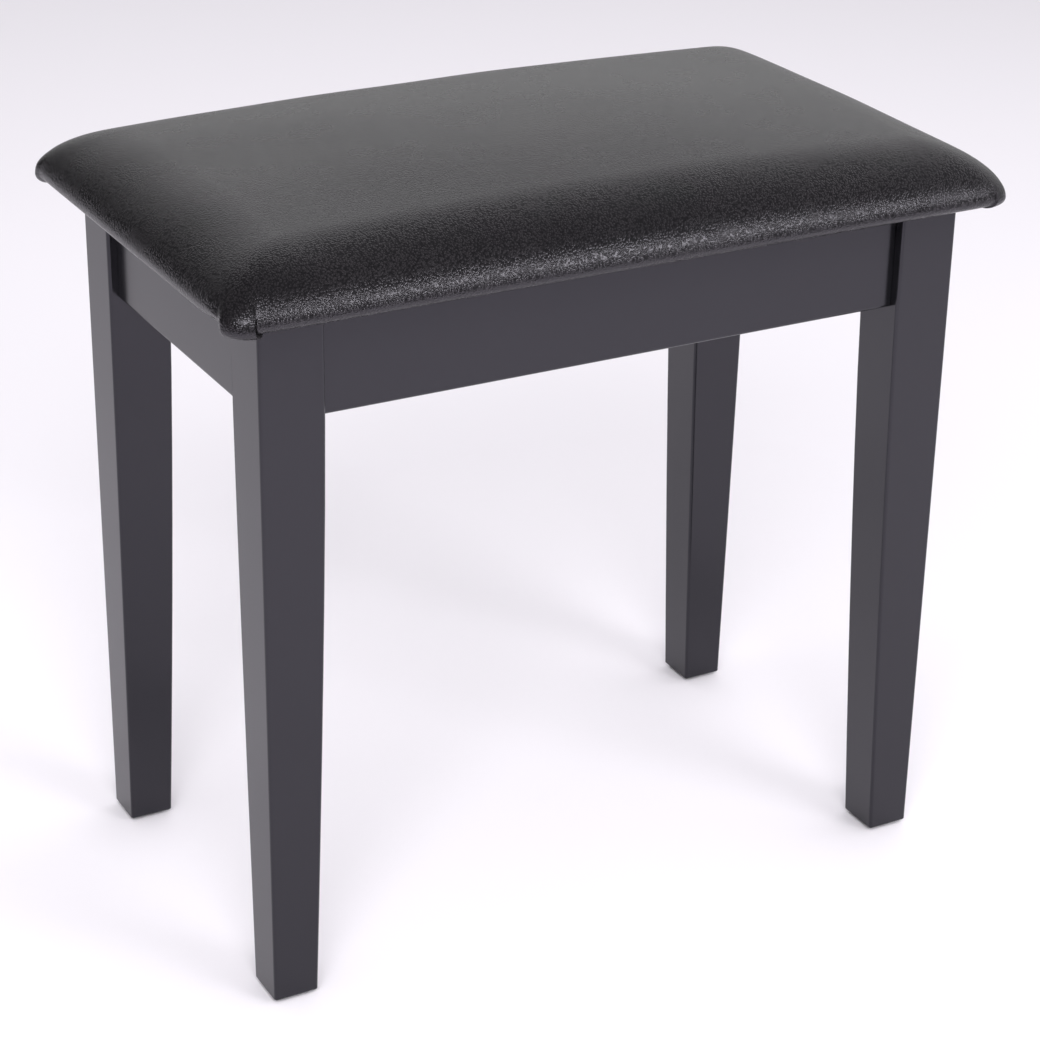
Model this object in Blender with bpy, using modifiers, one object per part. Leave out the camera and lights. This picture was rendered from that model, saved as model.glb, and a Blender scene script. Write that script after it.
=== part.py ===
"""Piano bench: an upholstered seat screwed to a frame of four aprons and four bolted, tapered legs.

Units are metres. +Z is up, +X runs along the long side and the front faces -Y.
The origin is on the floor, under the middle of the bench.
"""

from math import asin, cos, pi, radians, sin, sqrt

import bmesh
import bpy
from mathutils import Matrix, Quaternion, Vector

# Driving dimensions of the frame
LEG_SPAN_X = 0.480          # over the outer faces of the legs, along the front
LEG_SPAN_Y = 0.276          # over the outer faces of the legs, front to rear
LEG_WIDTH = 0.0412          # section of a leg at the top, along the front
LEG_DEPTH = 0.0402          # and front to rear
WIDTH_TAPER = 0.0117        # how far the inner faces have come in at the foot
DEPTH_TAPER = 0.0087
TAPER_EXPONENT = 1.3        # 1 would be a straight taper
LEG_ARRIS = 0.0018          # rounding of a leg's long edges
FOOT_CHAMFER = 0.0010
APRON_HEIGHT = 0.0668
APRON_THICKNESS = 0.018
APRON_ARRIS = 0.0020
FRONT_SETBACK = 0.0072      # front and rear aprons, behind the outer faces of the legs
SIDE_SETBACK = 0.0062       # left and right aprons
FRAME_TOP = 0.4558          # top of the aprons and the legs

# Driving dimensions of the seat
PAD_HALF_X = 0.2670
PAD_HALF_Y = 0.1630
SHOULDER_WIDTH = 0.0540     # how far in from the edge the top starts to roll over
SHOULDER_RISE = 0.0295
CROWN = 0.0142              # how much the middle stands above the shoulder
CORNER_EXPONENT = 6.5       # superellipse exponent of the corners in plan, at the edge
TOP_EXPONENT = 3.5          # and at the top of the shoulder, where they are rounder
ROLL_WIDTH = 0.0055         # the edge rolls under by this much
ROLL_DROP = 0.0050
HEM_REACH = 0.035           # the turned-under cover ends this far in from the edge
COVER_THICKNESS = 0.0010
FOAM_INSET = 0.0018         # foam surface inside the outside of the cover
BOARD_THICKNESS = 0.012
BOARD_INSET = 0.0070
BOARD_CORNER = 0.0115
CLOTH_THICKNESS = 0.0005
CLOTH_INSET = 0.016
CLOTH_CORNER = 0.006

# Driving dimensions of the corner joints
BLOCK_THICKNESS = 0.020
BLOCK_HEIGHT = 0.045
BLOCK_DROP = 0.0010         # top of a block under the top of the frame
BLOCK_GAP = 0.0030          # left open so that the bolts pull the leg tight
LEG_FLAT = 0.010            # inner corner of the leg cut off for the bolts
FLAT_MARGIN = 0.005         # the flat runs this far below the block
BOLT_SPACING = 0.024
BOLT_RADIUS = 0.0030
BOLT_LENGTH = 0.040
BOLT_HEAD_RADIUS = 0.0060
BOLT_HEAD_HEIGHT = 0.0035
SOCKET_RADIUS = 0.0023      # over the corners of the hexagon
SOCKET_DEPTH = 0.0022
BOLT_HOLE_RADIUS = 0.0036
WASHER_RADIUS = 0.0080
WASHER_BORE = 0.0034
WASHER_THICKNESS = 0.0015
INSERT_RADIUS = 0.0050
INSERT_BORE = 0.0034
INSERT_LENGTH = 0.013
INSERT_HOLE_DEPTH = 0.018

# Wood screws
SCREW_RADIUS = 0.0020
SCREW_HEAD_RADIUS = 0.0040
SCREW_HEAD_HEIGHT = 0.0026
SCREW_POINT = 0.004         # length of the point
PILOT_RADIUS = 0.0024
COUNTERBORE_RADIUS = 0.0046
BLOCK_SCREW_LENGTH = 0.018
BLOCK_SCREW_SEAT = 0.006    # wood left under the head, measured from the apron
BLOCK_SCREW_PLACE = 0.0400  # along the apron, from the corner of the inner faces
SEAT_SCREW_LENGTH = 0.030
SEAT_SCREW_SEAT = 0.018     # wood left over the head
SEAT_SCREW_OFFSET = 0.0115  # to one side of the bolts
CLOTH_HOLE_RADIUS = 0.004

# Foot glides
GLIDE_RADIUS = 0.009
GLIDE_THICKNESS = 0.0020
GLIDE_EDGE = 0.0006
NAIL_RADIUS = 0.0012
NAIL_LENGTH = 0.012

GAP = 0.0003                # between neighbouring pieces
OVERSHOOT = 0.010           # how far a cutter reaches past the face that it opens

# How finely the curved surfaces are divided
RING_STEPS_X = 7
RING_STEPS_Y = 4
CORNER_STEPS = 5
SHOULDER_STEPS = 7
ROLL_STEPS = 3
CLOSING_STEPS = 3
TAPER_LEVELS = 7
ROUND_SIDES = 16
SCREW_SIDES = 12

# Worked out from the above
LEG_BOTTOM = GLIDE_THICKNESS + GAP
APRON_BOTTOM = FRAME_TOP - APRON_HEIGHT
CLOTH_BOTTOM = FRAME_TOP + GAP
PAD_BOTTOM = CLOTH_BOTTOM + CLOTH_THICKNESS + GAP
BOARD_BOTTOM = PAD_BOTTOM + COVER_THICKNESS + GAP
BOARD_TOP = BOARD_BOTTOM + BOARD_THICKNESS
PAD_WIDEST = PAD_BOTTOM + ROLL_DROP
BLOCK_TOP = FRAME_TOP - BLOCK_DROP
BLOCK_MIDDLE = BLOCK_TOP - BLOCK_HEIGHT / 2
INNER_X = LEG_SPAN_X / 2 - SIDE_SETBACK - APRON_THICKNESS     # inner face of a side apron
INNER_Y = LEG_SPAN_Y / 2 - FRONT_SETBACK - APRON_THICKNESS    # inner face of the front apron
LEG_CORNER_X = LEG_SPAN_X / 2 - LEG_WIDTH
LEG_CORNER_Y = LEG_SPAN_Y / 2 - LEG_DEPTH

UNTURNED = Quaternion()
CORNERS = {
    "front_left": (-1, -1),
    "front_right": (1, -1),
    "rear_left": (-1, 1),
    "rear_right": (1, 1),
}


# ---- helpers -------------------------------------------------------------------------------

def clear_scene():
    for obj in list(bpy.data.objects):
        bpy.data.objects.remove(obj, do_unlink=True)


def new_collection(name):
    collection = bpy.data.collections.new(name)
    bpy.context.scene.collection.children.link(collection)
    return collection


def make_material(name, colour, roughness, metallic=0.0):
    material = bpy.data.materials.new(name)
    material.use_nodes = True
    shader = material.node_tree.nodes["Principled BSDF"]
    shader.inputs["Base Color"].default_value = (*colour, 1.0)
    shader.inputs["Roughness"].default_value = roughness
    shader.inputs["Metallic"].default_value = metallic
    return material


def put(obj, location, rotation):
    obj.location = location
    obj.rotation_mode = "QUATERNION"
    obj.rotation_quaternion = rotation


def add_part(name, mesh, material, location=(0, 0, 0), rotation=UNTURNED):
    obj = bpy.data.objects.new(name, mesh)
    parts.objects.link(obj)
    if not mesh.materials:
        mesh.materials.append(material)
    put(obj, location, rotation)
    obj.parent = root
    return obj


def add_cutter(name, mesh, location=(0, 0, 0), rotation=UNTURNED):
    obj = bpy.data.objects.new(name, mesh)
    cutters.objects.link(obj)
    put(obj, location, rotation)
    obj.hide_render = True
    obj.display_type = "WIRE"
    return obj


def cut(obj, cutter):
    modifier = obj.modifiers.new("cut_" + cutter.name, "BOOLEAN")
    modifier.operation = "DIFFERENCE"
    modifier.solver = "EXACT"
    modifier.object = cutter


def mesh_from(bm, name):
    mesh = bpy.data.meshes.new(name)
    bm.to_mesh(mesh)
    bm.free()
    return mesh


def box_bmesh(size, centre=(0, 0, 0)):
    bm = bmesh.new()
    place = Matrix.Translation(centre) @ Matrix.Diagonal((*size, 1.0))
    bmesh.ops.create_cube(bm, size=1.0, matrix=place)
    return bm


def along(bm, axis):
    """The edges of a box that run along one axis, 0 for X to 2 for Z."""
    return [e for e in bm.edges if abs((e.verts[0].co - e.verts[1].co).normalized()[axis]) > 0.99]


def round_edges(bm, edges, radius, segments):
    bmesh.ops.bevel(bm, geom=edges, offset=radius, segments=segments, profile=0.5,
                    affect="EDGES", clamp_overlap=True)


def cylinder_mesh(name, radius, bottom, top, sides=ROUND_SIDES):
    bm = bmesh.new()
    middle = Matrix.Translation((0, 0, (bottom + top) / 2))
    bmesh.ops.create_cone(bm, cap_ends=True, segments=sides, radius1=radius, radius2=radius,
                          depth=top - bottom, matrix=middle)
    return mesh_from(bm, name)


def turned_mesh(name, profile, sides=ROUND_SIDES, closed=False, cutter=None):
    """A profile of (radius, height) points, listed down its outer side, turned about Z."""
    count = len(profile)
    edges = [(i, i + 1) for i in range(count - 1)]
    if closed:
        edges.append((count - 1, 0))
    outline = bpy.data.meshes.new(name + "_profile")
    outline.from_pydata([(r, 0, z) for r, z in profile], edges, [])
    blank = bpy.data.objects.new(name + "_blank", outline)
    parts.objects.link(blank)
    screw = blank.modifiers.new("turn", "SCREW")
    screw.axis = "Z"
    screw.angle = 2 * pi
    screw.steps = sides
    screw.render_steps = sides
    screw.use_merge_vertices = True
    screw.merge_threshold = 0.00001
    if cutter is not None:
        cut(blank, cutter)
    graph = bpy.context.evaluated_depsgraph_get()
    mesh = bpy.data.meshes.new_from_object(blank.evaluated_get(graph))
    mesh.name = name
    bpy.data.objects.remove(blank, do_unlink=True)
    mesh.shade_smooth()
    mesh.set_sharp_from_angle(angle=radians(35))
    return mesh


def outline_mesh(name, points, height):
    """A flat outline, extruded by half the height each way from z = 0."""
    curve = bpy.data.curves.new(name, "CURVE")
    curve.dimensions = "2D"
    curve.fill_mode = "BOTH"
    curve.extrude = height / 2
    spline = curve.splines.new("POLY")
    spline.points.add(len(points) - 1)
    for point, (x, y) in zip(spline.points, points):
        point.co = (x, y, 0, 1)
    spline.use_cyclic_u = True
    drawn = bpy.data.objects.new(name + "_outline", curve)
    parts.objects.link(drawn)
    graph = bpy.context.evaluated_depsgraph_get()
    mesh = bpy.data.meshes.new_from_object(drawn.evaluated_get(graph))
    bpy.data.objects.remove(drawn, do_unlink=True)
    bm = bmesh.new()
    bm.from_mesh(mesh)
    bpy.data.meshes.remove(mesh)
    bmesh.ops.remove_doubles(bm, verts=bm.verts, dist=0.00001)
    bmesh.ops.recalc_face_normals(bm, faces=bm.faces)
    return mesh_from(bm, name)


def facing(direction):
    """The turn that takes +Z to a direction."""
    return Vector(direction).to_track_quat("Z", "Y")


def corner_point(sign_x, sign_y, u, v, z):
    """A point measured inwards from the inner faces of the aprons at one corner."""
    return Vector((sign_x * (INNER_X - u), sign_y * (INNER_Y - v), z))


# ---- the seat ------------------------------------------------------------------------------

def between(start, end, steps):
    """The points that divide a straight side, without its two ends."""
    start = Vector(start)
    return [tuple(start.lerp(Vector(end), step / steps)) for step in range(1, steps)]


def pad_ring(half_x, half_y, corner, exponent=CORNER_EXPONENT):
    """One plan outline of the pad: straight sides joined by superellipse corners."""
    flat_x = half_x - corner
    flat_y = half_y - corner
    power = 2 / exponent
    quarter = []
    for step in range(CORNER_STEPS + 1):
        angle = pi / 2 * step / CORNER_STEPS
        across = abs(round(cos(angle), 9)) ** power
        up = abs(round(sin(angle), 9)) ** power
        quarter.append((flat_x + corner * across, flat_y + corner * up))
    rear_left = [(-x, y) for x, y in reversed(quarter)]
    front_left = [(-x, -y) for x, y in quarter]
    front_right = [(x, -y) for x, y in reversed(quarter)]
    ring = quarter + between(quarter[-1], rear_left[0], RING_STEPS_X)
    ring += rear_left + between(rear_left[-1], front_left[0], RING_STEPS_Y)
    ring += front_left + between(front_left[-1], front_right[0], RING_STEPS_X)
    ring += front_right + between(front_right[-1], quarter[0], RING_STEPS_Y)
    return ring


def crown_height(x, y):
    return CROWN * (1 - (x / PAD_HALF_X) ** 2) * (1 - (y / PAD_HALF_Y) ** 2)


def shoulder_rings(inset, start_angle):
    """Rings from the edge up over the shoulder; inset is measured inside the cover."""
    width = SHOULDER_WIDTH - inset
    rise = SHOULDER_RISE - inset
    rings = []
    for step in range(SHOULDER_STEPS + 1):
        angle = start_angle + (pi / 2 - start_angle) * step / SHOULDER_STEPS
        corner = width * cos(angle)
        exponent = CORNER_EXPONENT + (TOP_EXPONENT - CORNER_EXPONENT) * sin(angle)
        ring = pad_ring(PAD_HALF_X - SHOULDER_WIDTH + corner,
                        PAD_HALF_Y - SHOULDER_WIDTH + corner, corner, exponent)
        height = PAD_WIDEST + rise * sin(angle)
        rings.append([(x, y, height + crown_height(x, y)) for x, y in ring])
    return rings


def closing_rings(half_x, half_y, height, crowned):
    """Rings that close a rectangle down to a line along its middle."""
    rings = []
    for step in range(1, CLOSING_STEPS + 1):
        shrink = half_y * step / CLOSING_STEPS
        ring = pad_ring(half_x - shrink, half_y - shrink, 0.0)
        lift = crown_height if crowned else (lambda x, y: 0.0)
        rings.append([(x, y, height + lift(x, y)) for x, y in ring])
    return rings


def loft(rings, name):
    """A surface through rings that all have the same number of points."""
    bm = bmesh.new()
    rows = [[bm.verts.new(point) for point in ring] for ring in rings]
    count = len(rings[0])
    for lower, upper in zip(rows, rows[1:]):
        for i in range(count):
            j = (i + 1) % count
            bm.faces.new((lower[i], lower[j], upper[j], upper[i]))
    bmesh.ops.remove_doubles(bm, verts=bm.verts, dist=0.000001)
    bmesh.ops.dissolve_degenerate(bm, edges=bm.edges, dist=0.000001)
    for face in bm.faces:
        face.smooth = True
    return mesh_from(bm, name)


def under_rings():
    """The turned-under hem, from its inner edge out to the foot of the shoulder."""
    rings = []
    hem = pad_ring(PAD_HALF_X - HEM_REACH, PAD_HALF_Y - HEM_REACH, SHOULDER_WIDTH - HEM_REACH)
    rings.append([(x, y, PAD_BOTTOM) for x, y in hem])
    for step in range(ROLL_STEPS):
        angle = pi / 2 * (1 - step / ROLL_STEPS)
        reach = ROLL_WIDTH * (1 - cos(angle))
        ring = pad_ring(PAD_HALF_X - reach, PAD_HALF_Y - reach, SHOULDER_WIDTH - reach)
        height = PAD_WIDEST - ROLL_DROP * sin(angle)
        rings.append([(x, y, height) for x, y in ring])
    return rings


def seat_cover():
    rings = under_rings() + shoulder_rings(0.0, 0.0)
    inner_x = PAD_HALF_X - SHOULDER_WIDTH
    inner_y = PAD_HALF_Y - SHOULDER_WIDTH
    rings += closing_rings(inner_x, inner_y, PAD_WIDEST + SHOULDER_RISE, crowned=True)
    cover = add_part("seat_cover", loft(rings, "seat_cover"), leatherette)
    shell = cover.modifiers.new("thickness", "SOLIDIFY")
    shell.thickness = COVER_THICKNESS
    shell.offset = -1.0


def seat_foam():
    bottom = BOARD_TOP + GAP
    start = asin((bottom - PAD_WIDEST) / (SHOULDER_RISE - FOAM_INSET))
    rings = shoulder_rings(FOAM_INSET, start)
    base = [(x, y, bottom) for x, y, _ in rings[0]]
    flat_x = PAD_HALF_X - SHOULDER_WIDTH
    flat_y = PAD_HALF_Y - SHOULDER_WIDTH
    inner_base = [(x, y, bottom) for x, y in pad_ring(flat_x, flat_y, 0.0)]
    under = closing_rings(flat_x, flat_y, bottom, crowned=False)
    top_height = PAD_WIDEST + SHOULDER_RISE - FOAM_INSET
    over = closing_rings(flat_x, flat_y, top_height, crowned=True)
    rings = under[::-1] + [inner_base, base] + rings[1:] + over
    add_part("seat_foam", loft(rings, "seat_foam"), foam)


def seat_board(seat_screw_points):
    size = (2 * (PAD_HALF_X - BOARD_INSET), 2 * (PAD_HALF_Y - BOARD_INSET), BOARD_THICKNESS)
    bm = box_bmesh(size)
    round_edges(bm, along(bm, 2), BOARD_CORNER, 6)
    board = add_part("seat_board", mesh_from(bm, "seat_board"), plywood,
                     (0, 0, BOARD_BOTTOM + BOARD_THICKNESS / 2))
    depth = BLOCK_TOP - SEAT_SCREW_SEAT + SEAT_SCREW_LENGTH + GAP - BOARD_BOTTOM
    hole = cylinder_mesh("board_pilot", PILOT_RADIUS, -OVERSHOOT, depth, sides=SCREW_SIDES)
    for name, point in seat_screw_points.items():
        place = (point.x, point.y, BOARD_BOTTOM)
        cut(board, add_cutter(name + "_board_pilot", hole, place))


def dust_cloth(seat_screw_points):
    size = (2 * (PAD_HALF_X - CLOTH_INSET), 2 * (PAD_HALF_Y - CLOTH_INSET), CLOTH_THICKNESS)
    bm = box_bmesh(size)
    round_edges(bm, along(bm, 2), CLOTH_CORNER, 3)
    middle = CLOTH_BOTTOM + CLOTH_THICKNESS / 2
    sheet = add_part("dust_cloth", mesh_from(bm, "dust_cloth"), cloth, (0, 0, middle))
    hole = cylinder_mesh("cloth_hole", CLOTH_HOLE_RADIUS, -OVERSHOOT, OVERSHOOT, sides=SCREW_SIDES)
    for name, point in seat_screw_points.items():
        place = (point.x, point.y, middle)
        cut(sheet, add_cutter(name + "_cloth_hole", hole, place))


# ---- the frame -----------------------------------------------------------------------------

def leg_mesh(name, sign_x, sign_y):
    """A post whose two inner faces come in along a gentle curve below the aprons."""
    height = FRAME_TOP - LEG_BOTTOM
    bm = box_bmesh((LEG_WIDTH, LEG_DEPTH, height), (0, 0, LEG_BOTTOM + height / 2))
    taper_height = APRON_BOTTOM - LEG_BOTTOM
    for level in range(TAPER_LEVELS):
        z = APRON_BOTTOM - taper_height * level / TAPER_LEVELS
        geometry = bm.verts[:] + bm.edges[:] + bm.faces[:]
        bmesh.ops.bisect_plane(bm, geom=geometry, plane_co=(0, 0, z), plane_no=(0, 0, 1))
    long_edges = along(bm, 2)
    for vert in bm.verts:
        depth = max(APRON_BOTTOM - vert.co.z, 0.0) / taper_height
        share = depth ** TAPER_EXPONENT
        if vert.co.x * sign_x < 0:
            vert.co.x += sign_x * WIDTH_TAPER * share
        if vert.co.y * sign_y < 0:
            vert.co.y += sign_y * DEPTH_TAPER * share
    round_edges(bm, long_edges, LEG_ARRIS, 3)
    foot = [e for e in bm.edges if max(v.co.z for v in e.verts) < LEG_BOTTOM + GAP]
    round_edges(bm, foot, FOOT_CHAMFER, 1)
    return mesh_from(bm, name)


def flat_cutter(name, sign_x, sign_y):
    """A block turned 45 degrees that takes off the inner top corner of a leg."""
    top = FRAME_TOP + OVERSHOOT
    bottom = BLOCK_TOP - BLOCK_HEIGHT - FLAT_MARGIN
    width = 2 * LEG_WIDTH
    bm = box_bmesh((width, width, top - bottom), (0, 0, (top + bottom) / 2))
    inwards = Vector((-sign_x, -sign_y, 0)).normalized()
    corner = Vector((sign_x * LEG_CORNER_X, sign_y * LEG_CORNER_Y, 0))
    centre = corner + inwards * (width / 2 - LEG_FLAT / sqrt(2))
    return add_cutter(name + "_flat", mesh_from(bm, name + "_flat"), centre,
                      Matrix.Rotation(pi / 4, 3, "Z").to_quaternion())


def leg_face_point(sign_x, sign_y, z):
    """The middle of the flat that the bolts go into."""
    corner = Vector((sign_x * LEG_CORNER_X, sign_y * LEG_CORNER_Y, z))
    return corner + Vector((sign_x, sign_y, 0)).normalized() * LEG_FLAT / sqrt(2)


def bolt_levels():
    return {"upper": BLOCK_MIDDLE + BOLT_SPACING / 2, "lower": BLOCK_MIDDLE - BOLT_SPACING / 2}


def leg(name, sign_x, sign_y):
    place = (sign_x * (LEG_SPAN_X - LEG_WIDTH) / 2, sign_y * (LEG_SPAN_Y - LEG_DEPTH) / 2, 0)
    post = add_part(name + "_leg", leg_mesh(name + "_leg", sign_x, sign_y), lacquer, place)
    cut(post, flat_cutter(name, sign_x, sign_y))
    outwards = facing((-sign_x, -sign_y, 0))
    hole = cylinder_mesh("insert_hole", INSERT_RADIUS + GAP, -INSERT_HOLE_DEPTH, OVERSHOOT)
    for level, z in bolt_levels().items():
        point = leg_face_point(sign_x, sign_y, z)
        cut(post, add_cutter(f"{name}_{level}_insert_hole", hole, point, outwards))
    nail_hole = cylinder_mesh("nail_hole", NAIL_RADIUS + GAP, -OVERSHOOT, NAIL_LENGTH + 2 * GAP,
                              sides=SCREW_SIDES)
    foot = foot_centre(sign_x, sign_y)
    cut(post, add_cutter(name + "_nail_hole", nail_hole, (foot.x, foot.y, LEG_BOTTOM)))


def foot_centre(sign_x, sign_y):
    foot_x = LEG_WIDTH - WIDTH_TAPER
    foot_y = LEG_DEPTH - DEPTH_TAPER
    return Vector((sign_x * (LEG_SPAN_X - foot_x) / 2, sign_y * (LEG_SPAN_Y - foot_y) / 2, 0))


def aprons(screw_points):
    """Four rails between the legs, each set back a little from the legs' outer faces."""
    length_x = 2 * (LEG_CORNER_X - GAP)
    length_y = 2 * (LEG_CORNER_Y - GAP)
    middle_x = INNER_X + APRON_THICKNESS / 2
    middle_y = INNER_Y + APRON_THICKNESS / 2
    plans = {
        "front_apron": (0, -middle_y, length_x, APRON_THICKNESS),
        "rear_apron": (0, middle_y, length_x, APRON_THICKNESS),
        "left_apron": (-middle_x, 0, APRON_THICKNESS, length_y),
        "right_apron": (middle_x, 0, APRON_THICKNESS, length_y),
    }
    depth = BLOCK_SCREW_LENGTH - BLOCK_SCREW_SEAT + GAP
    hole = cylinder_mesh("apron_pilot", PILOT_RADIUS, -depth, OVERSHOOT, sides=SCREW_SIDES)
    for name, (x, y, size_x, size_y) in plans.items():
        bm = box_bmesh((size_x, size_y, APRON_HEIGHT))
        long_axis = 0 if size_x > size_y else 1
        low_edges = [e for e in along(bm, long_axis) if e.verts[0].co.z < 0]
        round_edges(bm, low_edges, APRON_ARRIS, 3)
        rail = add_part(name, mesh_from(bm, name), lacquer, (x, y, APRON_BOTTOM + APRON_HEIGHT / 2))
        for screw_name, (apron, point, inwards) in screw_points.items():
            if apron == name:
                cutter = add_cutter(screw_name + "_pilot", hole, point, facing(inwards))
                cut(rail, cutter)


# ---- the corner joints ---------------------------------------------------------------------

def block_planes():
    """How far the two diagonal faces of a block lie from the corner, as u + v."""
    leg_sum = (INNER_X - LEG_CORNER_X) + (INNER_Y - LEG_CORNER_Y) - LEG_FLAT
    near = leg_sum + BLOCK_GAP * sqrt(2)
    return near, near + BLOCK_THICKNESS * sqrt(2)


def screw_places():
    """For each block screw: the apron that it enters, the point on that apron and the way out."""
    places = {}
    for corner, (sign_x, sign_y) in CORNERS.items():
        front_or_rear = "front" if sign_y < 0 else "rear"
        side = "left" if sign_x < 0 else "right"
        along_x = corner_point(sign_x, sign_y, BLOCK_SCREW_PLACE, 0, BLOCK_MIDDLE)
        along_y = corner_point(sign_x, sign_y, 0, BLOCK_SCREW_PLACE, BLOCK_MIDDLE)
        places[f"{corner}_block_{front_or_rear}_screw"] = (
            front_or_rear + "_apron", along_x, (0, -sign_y, 0))
        places[f"{corner}_block_side_screw"] = (side + "_apron", along_y, (-sign_x, 0, 0))
    return places


def seat_screw_places():
    """The upright screws, beside the bolts in the thickness of each block."""
    near, far = block_planes()
    middle = (near + far) / 4
    aside = SEAT_SCREW_OFFSET / sqrt(2)
    return {
        corner: corner_point(sign_x, sign_y, middle + aside, middle - aside,
                             BLOCK_TOP - SEAT_SCREW_SEAT)
        for corner, (sign_x, sign_y) in CORNERS.items()
    }


def corner_block(corner, sign_x, sign_y, screws, seat_screw):
    near, far = block_planes()
    outline = [(near, GAP), (far, GAP), (GAP, far), (GAP, near)]
    points = [corner_point(sign_x, sign_y, u, v, 0).xy for u, v in outline]
    block = add_part(corner + "_corner_block",
                     outline_mesh(corner + "_corner_block", points, BLOCK_HEIGHT),
                     block_wood, (0, 0, BLOCK_MIDDLE))
    inwards = facing((-sign_x, -sign_y, 0))
    bolt_hole = cylinder_mesh("bolt_hole", BOLT_HOLE_RADIUS, -OVERSHOOT,
                              BLOCK_THICKNESS + BLOCK_GAP + OVERSHOOT)
    for level, z in bolt_levels().items():
        place = leg_face_point(sign_x, sign_y, z)
        cut(block, add_cutter(f"{corner}_{level}_bolt_hole", bolt_hole, place, inwards))
    shank_hole = cylinder_mesh("shank_hole", PILOT_RADIUS, -OVERSHOOT, BLOCK_HEIGHT, sides=SCREW_SIDES)
    head_hole = cylinder_mesh("head_hole", COUNTERBORE_RADIUS, 0, BLOCK_HEIGHT)
    for name, (_, point, away) in screws.items():
        if name.startswith(corner):
            seat = point + Vector(away) * BLOCK_SCREW_SEAT
            cut(block, add_cutter(name + "_shank_hole", shank_hole, point, facing(away)))
            cut(block, add_cutter(name + "_head_hole", head_hole, seat, facing(away)))
    down = facing((0, 0, -1))
    above = seat_screw + Vector((0, 0, SEAT_SCREW_SEAT))
    cut(block, add_cutter(corner + "_seat_shank_hole", shank_hole, above, down))
    cut(block, add_cutter(corner + "_seat_head_hole", head_hole, seat_screw, down))


def bolt_mesh():
    """A flange-head bolt with a hexagon socket; its head sits on z = 0 and the shank runs down."""
    top = BOLT_HEAD_HEIGHT
    dome = 0.0012
    point = 0.001
    profile = [
        (0, top), (BOLT_HEAD_RADIUS * 0.75, top), (BOLT_HEAD_RADIUS, top - dome),
        (BOLT_HEAD_RADIUS, 0), (BOLT_RADIUS, 0), (BOLT_RADIUS, -BOLT_LENGTH + point),
        (BOLT_RADIUS - point, -BOLT_LENGTH), (0, -BOLT_LENGTH),
    ]
    socket = cylinder_mesh("socket", SOCKET_RADIUS, top - SOCKET_DEPTH, top + OVERSHOOT, sides=6)
    return turned_mesh("bolt", profile, cutter=add_cutter("bolt_socket", socket))


def ring_mesh(name, radius, bore, thickness):
    profile = [(bore, thickness), (radius, thickness), (radius, 0), (bore, 0)]
    return turned_mesh(name, profile, closed=True)


def screw_mesh(name, length):
    """A pan-head wood screw; its head sits on z = 0 and the point is at the bottom."""
    top = SCREW_HEAD_HEIGHT
    profile = [
        (0, top), (SCREW_HEAD_RADIUS * 0.7, top), (SCREW_HEAD_RADIUS, top * 0.5),
        (SCREW_HEAD_RADIUS, 0), (SCREW_RADIUS, 0), (SCREW_RADIUS, -length + SCREW_POINT),
        (0, -length),
    ]
    return turned_mesh(name, profile, sides=SCREW_SIDES)


def bolts(corner, sign_x, sign_y, bolt, washer, insert):
    """Two bolts through the block into threaded inserts in the leg."""
    inwards = Vector((-sign_x, -sign_y, 0)).normalized()
    turn = facing(inwards)
    for level, z in bolt_levels().items():
        face = leg_face_point(sign_x, sign_y, z)
        washer_place = face + inwards * (BLOCK_GAP + BLOCK_THICKNESS + GAP)
        bolt_place = washer_place + inwards * (WASHER_THICKNESS + GAP)
        insert_place = face - inwards * (INSERT_LENGTH + GAP)
        add_part(f"{corner}_{level}_bolt", bolt, steel, bolt_place, turn)
        add_part(f"{corner}_{level}_washer", washer, steel, washer_place, turn)
        add_part(f"{corner}_{level}_threaded_insert", insert, brass, insert_place, turn)


def block_screws(screws, mesh):
    for name, (_, point, away) in screws.items():
        seat = point + Vector(away) * (BLOCK_SCREW_SEAT + GAP)
        add_part(name, mesh, steel, seat, facing(away))


def seat_screws(places, mesh):
    down = facing((0, 0, -1))
    for corner, point in places.items():
        add_part(corner + "_seat_screw", mesh, steel, point - Vector((0, 0, GAP)), down)


def foot_glides():
    """Plastic discs with a moulded pin, pressed into the feet."""
    top = GLIDE_THICKNESS
    edge = GLIDE_EDGE
    profile = [
        (0, top + NAIL_LENGTH), (NAIL_RADIUS, top + NAIL_LENGTH - NAIL_RADIUS), (NAIL_RADIUS, top),
        (GLIDE_RADIUS, top), (GLIDE_RADIUS, edge), (GLIDE_RADIUS - edge, 0), (0, 0),
    ]
    mesh = turned_mesh("foot_glide", profile)
    for corner, (sign_x, sign_y) in CORNERS.items():
        add_part(corner + "_foot_glide", mesh, nylon, foot_centre(sign_x, sign_y))


clear_scene()
parts = new_collection("piano_bench")
cutters = new_collection("cutters")
root = bpy.data.objects.new("bench_root", None)
parts.objects.link(root)

lacquer = make_material("satin_black_lacquer", (0.018, 0.018, 0.021), 0.32)
leatherette = make_material("black_leatherette", (0.020, 0.019, 0.019), 0.42)
foam = make_material("polyurethane_foam", (0.78, 0.74, 0.62), 0.95)
plywood = make_material("birch_plywood", (0.55, 0.38, 0.21), 0.70)
cloth = make_material("nonwoven_dust_cloth", (0.015, 0.015, 0.016), 0.90)
block_wood = make_material("beech_block", (0.52, 0.34, 0.18), 0.60)
steel = make_material("zinc_plated_steel", (0.62, 0.63, 0.65), 0.30, 1.0)
brass = make_material("zinc_alloy_insert", (0.66, 0.58, 0.40), 0.35, 1.0)
nylon = make_material("black_nylon", (0.03, 0.03, 0.03), 0.45)

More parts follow.
